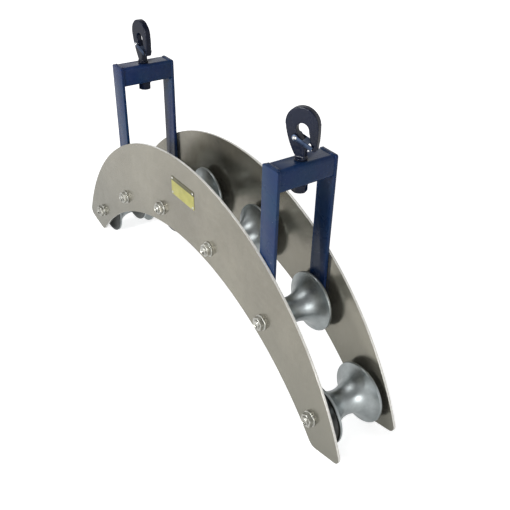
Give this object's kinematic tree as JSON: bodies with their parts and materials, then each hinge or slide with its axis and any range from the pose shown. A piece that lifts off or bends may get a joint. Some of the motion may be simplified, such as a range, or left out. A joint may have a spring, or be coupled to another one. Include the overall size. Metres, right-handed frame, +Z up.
{
  "type": "stringing block",
  "caption": "Curved stringing block: grooved rollers between two crescent side plates, hung from swivel hooks on pivoting hangers, to carry a conductor round an angle.",
  "frame": {"origin": "on the ground under the middle of the block, which stands on the heels of its side plates", "axes": "+X along the conductor towards the near hanger, +Y across the rollers away from the tag plate, +Z up towards the hooks"},
  "size_m": [1.0086, 0.162, 0.5631],
  "materials": {
    "galvanised_plate": "dull galvanised sheet steel with brighter sheared edges",
    "cast_aluminium": "as-cast aluminium, groove turned smooth",
    "zinc_fastener": "zinc-plated steel",
    "turned_steel": "turned steel",
    "seal_rubber": "black rubber seal",
    "bearing_steel": "ground bearing steel",
    "blue_paint": "gloss blue enamel on steel",
    "bronze_bush": "plain bronze bush",
    "navy_forging": "dark navy enamel on forged steel",
    "spring_steel": "bright spring steel",
    "latch_sheet": "zinc-plated pressed sheet",
    "yellow_tag": "yellow enamelled plate with a dark strip, blank",
    "rivet_aluminium": "aluminium rivets"
  },
  "bodies": {
    "frame": {"side_plate_near": "galvanised_plate", "side_plate_far": "galvanised_plate", "axle_studs": "zinc_fastener", "axle_nuts": "zinc_fastener", "axle_washers": "zinc_fastener", "axle_spacers": "turned_steel", "distance_sleeves": "turned_steel", "bearing_inner_rings": "bearing_steel", "bearing_balls": "bearing_steel", "tag_plate": "yellow_tag", "tag_rivets": "rivet_aluminium"},
    "roller_body_1": {"roller_1": "cast_aluminium", "bearing_outer_rings_1": "bearing_steel", "bearing_seals_1": "seal_rubber"},
    "roller_body_2": {"roller_2": "cast_aluminium", "bearing_outer_rings_2": "bearing_steel", "bearing_seals_2": "seal_rubber"},
    "roller_body_3": {"roller_3": "cast_aluminium", "bearing_outer_rings_3": "bearing_steel", "bearing_seals_3": "seal_rubber"},
    "roller_body_4": {"roller_4": "cast_aluminium", "bearing_outer_rings_4": "bearing_steel", "bearing_seals_4": "seal_rubber"},
    "roller_body_5": {"roller_5": "cast_aluminium", "bearing_outer_rings_5": "bearing_steel", "bearing_seals_5": "seal_rubber"},
    "roller_body_6": {"roller_6": "cast_aluminium", "bearing_outer_rings_6": "bearing_steel", "bearing_seals_6": "seal_rubber"},
    "hanger_near": {"hanger_legs_near": "blue_paint", "hanger_beam_near": "blue_paint", "swivel_sleeve_near": "blue_paint", "hanger_bushes_near": "bronze_bush", "hanger_welds_near": "blue_paint"},
    "swivel_hook_near": {"hook_near": "navy_forging", "swivel_nut_near": "navy_forging", "thrust_washer_near": "navy_forging", "roll_pin_near": "spring_steel", "latch_pin_near": "spring_steel", "latch_springs_near": "spring_steel"},
    "hook_latch_near": {"latch_near": "latch_sheet"},
    "hanger_far": {"hanger_legs_far": "blue_paint", "hanger_beam_far": "blue_paint", "swivel_sleeve_far": "blue_paint", "hanger_bushes_far": "bronze_bush", "hanger_welds_far": "blue_paint"},
    "swivel_hook_far": {"hook_far": "navy_forging", "swivel_nut_far": "navy_forging", "thrust_washer_far": "navy_forging", "roll_pin_far": "spring_steel", "latch_pin_far": "spring_steel", "latch_springs_far": "spring_steel"},
    "hook_latch_far": {"latch_far": "latch_sheet"}
  },
  "joints": [
    {"name": "roller_spin_1", "type": "hinge", "parent": "frame", "child": "roller_body_1", "pos_m": [0.42426, 0, 0.05976], "axis": [0, 1, 0], "continuous": true},
    {"name": "roller_spin_2", "type": "hinge", "parent": "frame", "child": "roller_body_2", "pos_m": [0.27239, 0, 0.1701], "axis": [0, 1, 0], "continuous": true},
    {"name": "roller_spin_3", "type": "hinge", "parent": "frame", "child": "roller_body_3", "pos_m": [0.09386, 0, 0.22811], "axis": [0, 1, 0], "continuous": true},
    {"name": "roller_spin_4", "type": "hinge", "parent": "frame", "child": "roller_body_4", "pos_m": [-0.09386, 0, 0.22811], "axis": [0, 1, 0], "continuous": true},
    {"name": "roller_spin_5", "type": "hinge", "parent": "frame", "child": "roller_body_5", "pos_m": [-0.27239, 0, 0.1701], "axis": [0, 1, 0], "continuous": true},
    {"name": "roller_spin_6", "type": "hinge", "parent": "frame", "child": "roller_body_6", "pos_m": [-0.42426, 0, 0.05976], "axis": [0, 1, 0], "continuous": true},
    {"name": "hanger_swing_near", "type": "hinge", "parent": "frame", "child": "hanger_near", "pos_m": [0.27239, 0, 0.1701], "axis": [0, 1, 0], "range_deg": [-35, 90]},
    {"name": "hook_swivel_near", "type": "hinge", "parent": "hanger_near", "child": "swivel_hook_near", "pos_m": [0.27239, 0, 0.4751], "axis": [0, 0, 1], "continuous": true},
    {"name": "latch_hinge_near", "type": "hinge", "parent": "swivel_hook_near", "child": "hook_latch_near", "pos_m": [0.26386, -0.00416, 0.5121], "axis": [0.4384, -0.8988, 0], "range_deg": [0, 50], "stiffness_Nm_per_rad": 0.02, "springref_deg": -57.3},
    {"name": "hanger_swing_far", "type": "hinge", "parent": "frame", "child": "hanger_far", "pos_m": [-0.27239, 0, 0.1701], "axis": [0, 1, 0], "range_deg": [-90, 35]},
    {"name": "hook_swivel_far", "type": "hinge", "parent": "hanger_far", "child": "swivel_hook_far", "pos_m": [-0.27239, 0, 0.4751], "axis": [0, 0, 1], "continuous": true},
    {"name": "latch_hinge_far", "type": "hinge", "parent": "swivel_hook_far", "child": "hook_latch_far", "pos_m": [-0.28188, -0.0005, 0.5121], "axis": [0.0523, -0.9986, 0], "range_deg": [0, 50], "stiffness_Nm_per_rad": 0.02, "springref_deg": -57.3}
  ]
}
